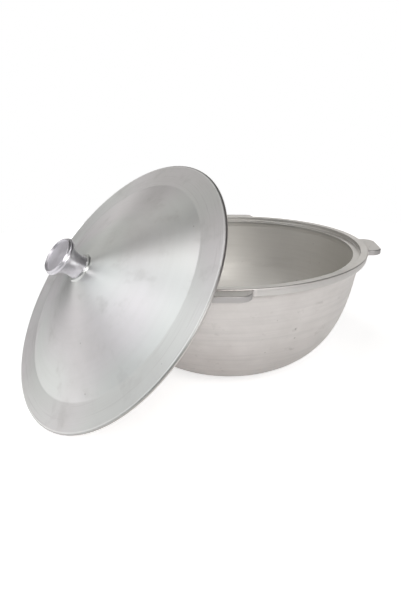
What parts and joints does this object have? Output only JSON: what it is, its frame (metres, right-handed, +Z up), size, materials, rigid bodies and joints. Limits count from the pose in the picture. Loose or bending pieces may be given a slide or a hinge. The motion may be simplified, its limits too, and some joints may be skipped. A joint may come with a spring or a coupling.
{
  "type": "cast cauldron with lid",
  "caption": "Cast aluminium round-bottomed cauldron with four flat rim lugs and a loose cone-shaped lid with a turned knob, leaning on it.",
  "frame": {"origin": "centre of the pot's flat base, on the floor", "axes": "+Z up along the pot's axis; the four lugs point along +X, -X, +Y and -Y; the lid leans on the lug at -X from the side of -X and -Y"},
  "size_m": [0.4897, 0.4711, 0.2724],
  "materials": {
    "pot_casting": "sand-cast and lightly brushed, matte warm grey, machined on the rim",
    "lid_turned": "lathe-turned satin with fine concentric marks",
    "knob_turned": "finely turned, almost bright",
    "screw_steel": "plain zinc-plated steel",
    "washer_steel": "plain zinc-plated steel"
  },
  "bodies": {
    "pot": {"pot_body": "pot_casting"},
    "lid": {"lid": "lid_turned", "knob": "knob_turned", "knob_screw": "screw_steel", "knob_washer": "washer_steel"}
  },
  "joints": [
    {"name": "lid_lift", "type": "slide", "parent": "pot", "child": "lid", "axis": [-0.582, -0.5029, 0.6391], "range_m": [0, 0.25]}
  ]
}
